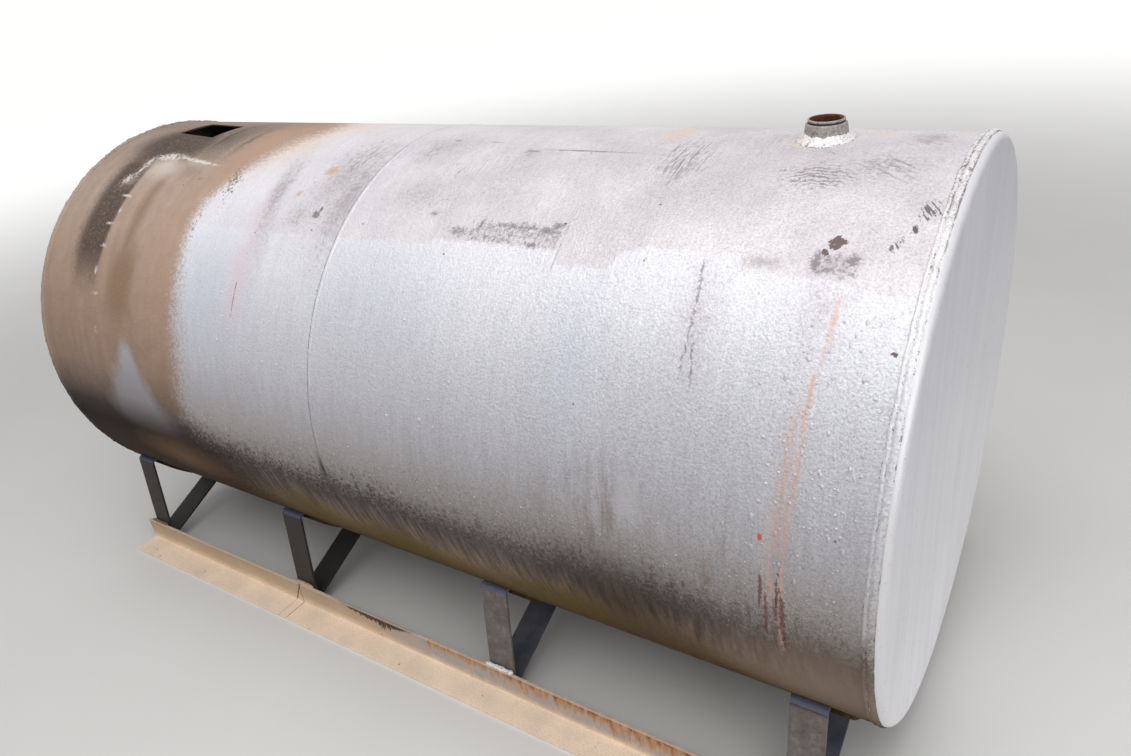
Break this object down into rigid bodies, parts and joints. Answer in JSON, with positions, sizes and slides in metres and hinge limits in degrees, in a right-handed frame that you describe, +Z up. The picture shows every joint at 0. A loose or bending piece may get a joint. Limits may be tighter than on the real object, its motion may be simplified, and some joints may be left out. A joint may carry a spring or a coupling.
{
  "type": "horizontal storage tank on low skids",
  "caption": "Horizontal cylindrical steel tank with flat welded ends, a filler neck and a cut top opening, on a low stand of angle rails, flat-bar legs and struts.",
  "frame": {"origin": "on the ground under the middle of the tank", "axes": "+X along the tank towards the end with the filler neck, +Y to the rear side, +Z up"},
  "size_m": [2.456, 1.224, 1.316],
  "materials": {
    "shell_paint": "satin",
    "weld_metal": "rough",
    "neck_metal": "rough",
    "rusty_rail": "rough",
    "bar_steel": "rough"
  },
  "bodies": {
    "root": {"shell_left": "shell_paint", "shell_right": "shell_paint", "end_left": "shell_paint", "end_right": "shell_paint", "rim_weld_left": "weld_metal", "rim_weld_right": "weld_metal", "seam_weld": "weld_metal", "filler_neck": "neck_metal", "filler_ring": "neck_metal", "neck_weld": "weld_metal", "front_rail_left": "rusty_rail", "front_rail_right": "rusty_rail", "rear_rail_left": "rusty_rail", "rear_rail_right": "rusty_rail", "front_leg_1": "bar_steel", "front_leg_2": "bar_steel", "front_leg_3": "bar_steel", "front_leg_4": "bar_steel", "rear_leg_1": "bar_steel", "rear_leg_2": "bar_steel", "rear_leg_3": "bar_steel", "rear_leg_4": "bar_steel", "front_strut_1": "bar_steel", "front_strut_2": "bar_steel", "front_strut_3": "bar_steel", "front_strut_4": "bar_steel", "rear_strut_1": "bar_steel", "rear_strut_2": "bar_steel", "rear_strut_3": "bar_steel", "rear_strut_4": "bar_steel", "front_pad_1": "shell_paint", "front_pad_2": "shell_paint", "front_pad_3": "shell_paint", "front_pad_4": "shell_paint", "rear_pad_1": "shell_paint", "rear_pad_2": "shell_paint", "rear_pad_3": "shell_paint", "rear_pad_4": "shell_paint"}
  },
  "joints": []
}
